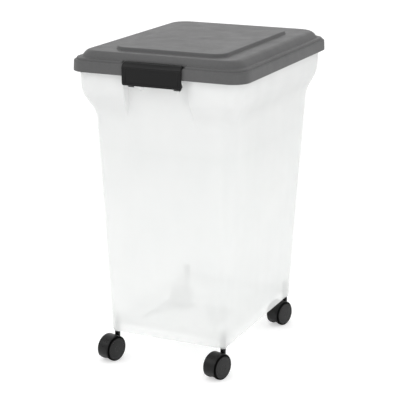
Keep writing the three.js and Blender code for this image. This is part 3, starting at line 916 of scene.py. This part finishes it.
def make_seal():
    """A strip with a rounded foot that rests on the rim."""
    low, high = 589.4, 594.7
    half_in, half_out = 164.9, 170.2
    profile = softened_outline([
        (half_in, low, 1.4),
        (half_out, low, 1.4),
        (half_out, high, 0.7),
        (half_in, high, 0.7),
    ], 4)
    straight = 140.4
    rings = [ring(even(z, half, half - straight), along_x=10, along_y=12) for half, z in profile]
    body = solid(*hoop([[in_part(p) for p in loop] for loop in rings]))
    piece(body, "lid_seal_strip", "lid", [FOAM], "lid_seal")


def make_hinge_pins():
    """Two pins with their heads towards the middle of the bin."""
    half = KNUCKLE_W / 2 + EAR_W + GAP
    profile = [(0, -half - 2.4), (2.6, -half - 2.4), (3.5, -half - 2.0), (3.8, -half - 1.4),
               (3.8, -half - 0.7), (3.5, -half - 0.4), (2.2, -half - 0.4), (2.2, half),
               (1.6, half + 0.8), (0, half + 0.8)]
    for name, side in (("left", -1), ("right", 1)):
        bm = solid(*lathe(profile, BAR_SEGMENTS))
        bm.transform(Matrix.Rotation(side * math.pi / 2, 4, "Y"))
        bm.transform(Matrix.Translation((side * HINGE_X, HINGE.y, HINGE.z)))
        piece(bm, f"{name}_pin", "bin", [STEEL], f"{name}_hinge_pin")


# ------------------------------------------------------------------ latch

LATCH_HALF = 59.6
LATCH_X = -1.4
LATCH_FRONT = -227.0 + MID_Y
LATCH_LIP_Y = -212.7 + MID_Y
LATCH_LIP_Z = 599.2
LATCH_TOP_Z = 603.4
LATCH_TOP_CORNER = 3.6
LATCH_LOW_CORNER = 3.0
LATCH_WALL = 3
LATCH_CROWN = 0.9
LIP_SWEEP = 2.6
RIDGE_DOWN = 10.5
BEAD_UP = 3.5
BEAD_IN = 7
CHEEK_W = 3
GUSSET_X = (-30, 0, 30)
GUSSET_HALF = 0.9
BEAD_SHORT = 2
# Slices of the latch, as shares of its length. They lie closer together at the round corners.
SLICES = 24
END_SHARES = (0.013, 0.016, 0.019, 0.022, 0.025, 0.029, 0.033)
LATCH_SHARES = (*END_SHARES, *(i / SLICES for i in range(1, SLICES)),
                *(1 - share for share in reversed(END_SHARES)))
# How far the effects in latch_bow take to fade in.
FOOT_FADE = 7
FACE_FADE = 6
LIP_FADE = 9


def latch_bow(bm):
    """Crowns the plate slightly from end to end, curves the lip's back edge forward at its ends and
    rounds the four corners."""

    def drop(v, radius):
        over = max(abs(v.co.x - LATCH_X) - (LATCH_HALF - radius), 0.0)
        return radius - math.sqrt(max(radius * radius - over * over, 0.0))

    for v in bm.verts:
        top = max((v.co.z - LATCH_LIP_Z) / (LATCH_TOP_Z - LATCH_LIP_Z), 0.0)
        low = 1 - smoothstep(PIVOT.z, PIVOT.z + FOOT_FADE, v.co.z)
        v.co.z += drop(v, LATCH_LOW_CORNER) * low - drop(v, LATCH_TOP_CORNER) * top
        share = min(abs(v.co.x) / LATCH_HALF, 1.0) ** 2
        ahead = smoothstep(0, FACE_FADE, LATCH_FRONT + 8 - v.co.y)
        behind = smoothstep(0, LIP_FADE, v.co.y - LATCH_LIP_Y + LIP_FADE)
        if v.co.z <= LATCH_LIP_Z - 0.3:
            behind = 0
        v.co.y -= LATCH_CROWN * (1 - share) * ahead + LIP_SWEEP * share * behind
    return bm


def make_latch():
    """A plate with its lip, a cheek at either end, two barrels on webs, three gussets behind and thin
    beads on the face."""
    front, inner = LATCH_FRONT, LATCH_FRONT + LATCH_WALL
    foot = PIVOT.z
    low_z, ridge_z = foot + BEAD_UP, LATCH_TOP_Z - RIDGE_DOWN
    outline = softened_outline([
        (front + 0.4, foot - 0.4, 1.1),
        (inner + 0.2, foot - 0.4, 1.0),
        (inner, LATCH_LIP_Z, 2.2),
        (LATCH_LIP_Y, LATCH_LIP_Z, 0.5),
        (LATCH_LIP_Y, LATCH_TOP_Z, 0.9),
        (front + 5.6, LATCH_TOP_Z - 0.2, 1.8),
        (front + 0.8, LATCH_TOP_Z - 8.0, 0.8),
        (front, ridge_z, 1.0),
    ], 5)
    plate = solid(*prism(outline, LATCH_X - LATCH_HALF, LATCH_X + LATCH_HALF, LATCH_SHARES), 0.6, 3)
    parts = []
    below_skirt = SKIRT_LOW[0] - 2.2
    for side in (-1, 1):
        x0 = LATCH_X + side * (LATCH_HALF - PROUD) - (CHEEK_W if side > 0 else 0)
        cheek = softened_outline([
            (inner - 1, foot + 0.8, 0),
            (inner + 3.2, foot + 0.8, 1.5),
            (inner + 4.6, foot + 5, 2),
            (inner - 1, below_skirt, 0),
        ])
        parts.append(solid(*prism(cheek, x0, x0 + CHEEK_W), 0.5))
        b0 = side * LATCH_BARREL_X - LATCH_BARREL_W / 2
        b1 = b0 + LATCH_BARREL_W
        web = softened_outline([
            (inner - 1, foot - 0.2, 0),
            (PIVOT.y, foot - LATCH_BARREL_R + 0.7, 0),
            (PIVOT.y, foot + LATCH_BARREL_R - 0.7, 0),
            (inner - 1, foot + 9, 0),
        ])
        parts.append(solid(*prism(web, b0 + PROUD, b1 - PROUD), 0.5))
        parts.append(round_bar(LATCH_BARREL_R, b0, b1, PIVOT.y, foot, 0.6))
    gusset = [(inner - 1, foot + 1.5), (inner + 3, foot + 3), (inner - 1, below_skirt - 1)]
    for x in GUSSET_X:
        parts.append(solid(*prism(gusset, x - GUSSET_HALF, x + GUSSET_HALF), 0.3))
    reach = LATCH_HALF - BEAD_SHORT
    for z in (low_z, ridge_z):
        bead = [(front + 1, z - 1.3), (front - 0.5, z - 0.5), (front - 0.5, z + 0.5),
                (front + 1, z + 1.3)]
        parts.append(solid(*prism(bead, LATCH_X - reach, LATCH_X + reach, LATCH_SHARES), 0.25))
    line = [(front + 1, low_z - 0.4), (front - 0.4, low_z - 0.4), (front - 0.4, ridge_z),
            (front + 1, ridge_z)]
    for side in (-1, 1):
        x = LATCH_X + side * (LATCH_HALF - BEAD_IN)
        parts.append(solid(*prism(line, x - 0.6, x + 0.6), 0.25))
    body = joined(plate, *parts)
    half = LATCH_BARREL_W / 2 + BORE_PAST
    bores = [round_bar(BORE_R, x - half, x + half, PIVOT.y, foot)
             for x in (-LATCH_BARREL_X, LATCH_BARREL_X)]
    body = latch_bow(carved(body, *bores))
    piece(body, "latch_moulding", "latch", [LATCH], "latch")


# ------------------------------------------------------------------ casters
# Built round the stem on Z, with the axle along X in front of it, then turned and put in place.

WHEEL_R = 24.4
FACE_R = 21.6
WHEEL_IN = 8.0
WHEEL_W = 8.0
TRAIL = 17.2
TURN = math.radians(-17)
HOOD_R = 26.0
HOOD_HALF = 13.2
HOOD_LOW_Z = 10.5
HOOD_SEGMENTS = 72
WHEEL_SEGMENTS = 64
WEB_HALF = 7.3
WELL_R = 24.9
NECK_R = 5.3
NECK_TOP_Z = 54.6
NECK_LOW_Z = 34
NECK_ROUND = 0.6
STEM_BORE_R = 4.2
AXLE_BORE_R = 2.7
HUB_R = 5.4
HUB_HALF = 6.1
CHAMBER_HALF = 5.1
CHAMBER_R = HOOD_R - 2.2
# How far the cutting tools reach, past everything that they cut.
WELL_FAR = 22
STEM_BORE_Z = (38, 58)
AXLE_BORE_HALF = 9
BELOW_HALF_X = 25
BELOW_HALF_Y = 80
BELOW_LOW_Z = -25
# The material of a wheel's face starts this far inside of its rim.
FACE_DEEP = 0.95
# An axle ends this far outside of the wheels' inner ends.
AXLE_PAST = 4.6
RING_OPEN_HALF = math.radians(9)
RING_STEPS = 40


def on_axle(profile, segments, turn=0.0):
    """A body turned about the caster's axle, from (radius, x) points."""
    bm = moved(solid(*lathe(profile, segments)), Matrix.Rotation(turn, 4, "Z"))
    bm.transform(Matrix.Rotation(math.pi / 2, 4, "Y"))
    bm.transform(Matrix.Translation((0, -TRAIL, WHEEL_R)))
    return bm


def caster_hood():
    """A drum open towards either wheel and below, hollow in the middle round the axle's hub, with the
    neck that turns round the stem."""
    edge = HOOD_HALF
    drum = on_axle([(0, -edge), (HOOD_R - 1.2, -edge), (HOOD_R - 0.4, -edge + 0.3),
                    (HOOD_R - 0.05, -edge + 1.0), (HOOD_R, -edge + 3), (HOOD_R + 0.15, 0),
                    (HOOD_R, edge - 3), (HOOD_R - 0.05, edge - 1.0), (HOOD_R - 0.4, edge - 0.3),
                    (HOOD_R - 1.2, edge), (0, edge)], HOOD_SEGMENTS)
    neck = solid(*lathe([(0, NECK_LOW_Z), (NECK_R, NECK_LOW_Z), (NECK_R, NECK_TOP_Z - NECK_ROUND),
                         (NECK_R - NECK_ROUND, NECK_TOP_Z), (0, NECK_TOP_Z)], POST_SEGMENTS))
    wells = [on_axle(cylinder(WELL_R, side * WEB_HALF, side * WELL_FAR), HOOD_SEGMENTS, WELL_TURN)
             for side in (-1, 1)]
    chamber = on_axle(cylinder(CHAMBER_R, -CHAMBER_HALF, CHAMBER_HALF), HOOD_SEGMENTS, CHAMBER_TURN)
    hub = round_bar(HUB_R, -HUB_HALF, HUB_HALF, -TRAIL, WHEEL_R)
    hood = joined(carved(drum, chamber), neck, hub)
    below = solid(*prism([(-BELOW_HALF_Y, BELOW_LOW_Z), (BELOW_HALF_Y, BELOW_LOW_Z),
                          (BELOW_HALF_Y, HOOD_LOW_Z), (-BELOW_HALF_Y, HOOD_LOW_Z)],
                         -BELOW_HALF_X, BELOW_HALF_X))
    stem_bore = solid(*lathe(cylinder(STEM_BORE_R, *STEM_BORE_Z), BAR_SEGMENTS))
    axle_bore = round_bar(AXLE_BORE_R, -AXLE_BORE_HALF, AXLE_BORE_HALF, -TRAIL, WHEEL_R)
    return carved(hood, *wells, below, stem_bore, axle_bore)


def caster_wheel(side):
    """Tread in the first material, whose ring round the outer face also paints the groove's shade; the
    outer face in the second.
    """
    a, w = WHEEL_IN, WHEEL_W
    profile = [(0, a + 5.2), (2.7, a + 5.2), (2.7, a), (6.4, a), (7.2, a + 2.2), (20.2, a + 2.2),
               (21.2, a + 0.3), (WHEEL_R - 1, a + 0.3), (WHEEL_R - 0.3, a + 0.6), (WHEEL_R, a + 1.4),
               (WHEEL_R, a + w - 2.6), (WHEEL_R - 0.25, a + w - 1.7), (WHEEL_R - 0.9, a + w - 1.1),
               (FACE_R + 0.5, a + w - 1.0), (FACE_R + 0.1, a + w - 0.9), (FACE_R, a + w - 0.6),
               (FACE_R - 0.25, a + w - 0.15), (FACE_R - 0.9, a + w), (18.6, a + w + 0.12),
               (18.2, a + w - 0.2), (17.7, a + w - 0.2), (17.3, a + w + 0.16), (12, a + w + 0.35),
               (6.2, a + w + 0.46), (5.8, a + w + 0.2), (5.3, a + w + 0.2), (4.9, a + w + 0.48),
               (2, a + w + 0.5), (0, a + w + 0.5)]
    bm = on_axle(profile, WHEEL_SEGMENTS)
    for face in bm.faces:
        c = face.calc_center_median()
        from_axle = math.hypot(c.y + TRAIL, c.z - WHEEL_R)
        if from_axle < FACE_R and c.x > a + w - FACE_DEEP:
            face.material_index = 1
    if side < 0:
        bm.transform(Matrix.Scale(-1, 4, (1, 0, 0)))
        bmesh.ops.reverse_faces(bm, faces=bm.faces[:])
    return bm


def caster_stem():
    """A stem with a collar under the tub and a groove for the grip ring."""
    return solid(*lathe([(0, 38.6), (3.4, 38.6), (3.9, 39.1), (3.9, 54.9), (5.3, 54.9), (5.6, 55.2),
                         (5.6, 56.4), (5.3, 56.7), (3.9, 56.7), (3.9, 76.0), (3.1, 76.0), (3.1, 80.0),
                         (3.9, 80.0), (3.9, 84.4), (2.5, 86.6), (0, 86.6)], POST_SEGMENTS))


def caster_grip_ring():
    """A split spring ring: a rounded band swept round most of a circle."""
    band = [(3.55, 76.5, 0.3), (4.85, 76.5, 0.5), (4.85, 79.5, 0.5), (3.55, 79.5, 0.3)]
    profile = softened_outline(band, 3)
    count = len(profile)
    verts = []
    for i in range(RING_STEPS + 1):
        angle = math.pi / 2 + RING_OPEN_HALF + (2 * math.pi - 2 * RING_OPEN_HALF) * i / RING_STEPS
        verts.extend(Vector((r * math.cos(angle), r * math.sin(angle), z)) for r, z in profile)
    faces = grid_faces(RING_STEPS + 1, count)
    faces.append(tuple(range(count)))
    faces.append(tuple(RING_STEPS * count + i for i in reversed(range(count))))
    return solid(verts, faces)


def caster_axle():
    half = WHEEL_IN + AXLE_PAST
    return on_axle([(0, -half), (1.9, -half), (2.4, -half + 0.5), (2.4, half - 0.5), (1.9, half),
                    (0, half)], BAR_SEGMENTS)


def make_casters():
    """Every part is built once and copied to the four corners."""
    wheel_faces = [TREAD_AND_GROOVE_SHADE, DISC]
    makers = (
        ("stem", "bin", caster_stem(), [STEEL], "steel", "stem"),
        ("spring_ring", "bin", caster_grip_ring(), [STEEL], "steel", "grip_ring"),
        ("hood", "", caster_hood(), [HOOD], "caster_plastic", "housing"),
        ("axle_rod", "", caster_axle(), [STEEL], "steel", "axle"),
        ("left_roller", "_left_wheel", caster_wheel(-1), wheel_faces, "wheel_plastic", "left_wheel"),
        ("right_roller", "_right_wheel", caster_wheel(1), wheel_faces, "wheel_plastic", "right_wheel"),
    )
    for label, body, model, materials, slot, node in makers:
        for name, (x, y) in CORNERS.items():
            copy = model.copy()
            copy.transform(Matrix.Translation((x, y, 0)) @ Matrix.Rotation(TURN, 4, "Z"))
            rides = "bin" if body == "bin" else f"{name}_caster{body}"
            piece(copy, f"{name}_{label}", rides, materials, f"{name}_caster_{node}")
        model.free()


# ------------------------------------------------------------------ stage
# Lengths are in metres from here on.

FLOOR_HALF = 30
FLOOR_GLOW = 0.45
WORLD_STRENGTH = 1.0
LENS_MM = 125.24
SENSOR_MM = 36
CAMERA_AT = (1.10771, -2.43156, 1.04589)
CAMERA_YAW = 0.43131
CAMERA_PITCH = 0.27494
# Name, place, aim, size, watts.
SOFTBOXES = (
    ("overhead", (-0.2, 0.3, 2.6), (0, 0, 0.5), (1.8, 1.8), 3),
    ("front_top", (-0.9, -1.65, 2.1), (0, -0.22, 0.6), (0.4, 0.3), 3.0),
    ("back_strip", (-0.4, 0.9, 0.95), (0, 0.15, 0.62), (0.9, 0.25), 0.5),
    ("key_left", (-2.4, -1.6, 2.0), (0, 0, 0.35), (1.6, 1.6), 8),
    ("key_right", (1.9, -1.9, 0.9), (0, 0, 0.4), (0.35, 1.6), 7),
)


def make_floor():
    n = Nodes("floor_paper")
    base = n.blend(n.ranged(n.noise(1.2, 3.0), *SLOW), grey(0.66), grey(0.70))
    shader = n.add("ShaderNodeBsdfPrincipled", Base_Color=base, Roughness=0.9,
                   Emission_Color=(1, 1, 1, 1), Emission_Strength=FLOOR_GLOW)
    corners = ((-1, -1), (1, -1), (1, 1), (-1, 1))
    sheet = [Vector((x * FLOOR_HALF, y * FLOOR_HALF, 0)) for x, y in corners]
    floor = as_object(to_bmesh(sheet, [(0, 1, 2, 3)]), "floor")
    floor.data.materials.append(n.finish(shader.outputs["BSDF"]))


def make_world():
    world = bpy.data.worlds.new("studio")
    bpy.context.scene.world = world
    world.use_nodes = True
    background = world.node_tree.nodes["Background"]
    background.inputs["Color"].default_value = (1, 1, 1, 1)
    background.inputs["Strength"].default_value = WORLD_STRENGTH


def add_softbox(name, place, aim, size, watts):
    data = bpy.data.lights.new(name, "AREA")
    data.shape = "RECTANGLE"
    data.size, data.size_y = size
    data.energy = watts
    lamp = bpy.data.objects.new(name, data)
    lamp.location = place
    lamp.rotation_euler = (Vector(aim) - Vector(place)).to_track_quat("-Z", "Y").to_euler()
    lamp.visible_camera = False
    bpy.context.scene.collection.objects.link(lamp)


def make_camera():
    """The viewing angle of the photograph."""
    data = bpy.data.cameras.new("camera")
    data.lens = LENS_MM
    data.sensor_width = SENSOR_MM
    camera = bpy.data.objects.new("camera", data)
    level = math.cos(CAMERA_PITCH)
    ahead = Vector((-math.sin(CAMERA_YAW) * level, math.cos(CAMERA_YAW) * level,
                    -math.sin(CAMERA_PITCH)))
    camera.location = CAMERA_AT
    camera.rotation_mode = "QUATERNION"
    camera.rotation_quaternion = ahead.to_track_quat("-Z", "Y")
    bpy.context.scene.collection.objects.link(camera)
    bpy.context.scene.camera = camera


def make_stage():
    make_floor()
    make_world()
    for softbox in SOFTBOXES:
        add_softbox(*softbox)
    make_camera()
    bpy.context.scene.view_settings.view_transform = "Standard"


make_tub()
make_lid()
make_seal()
make_hinge_pins()
make_latch()
make_casters()
make_stage()

bpy.context.view_layer.update()
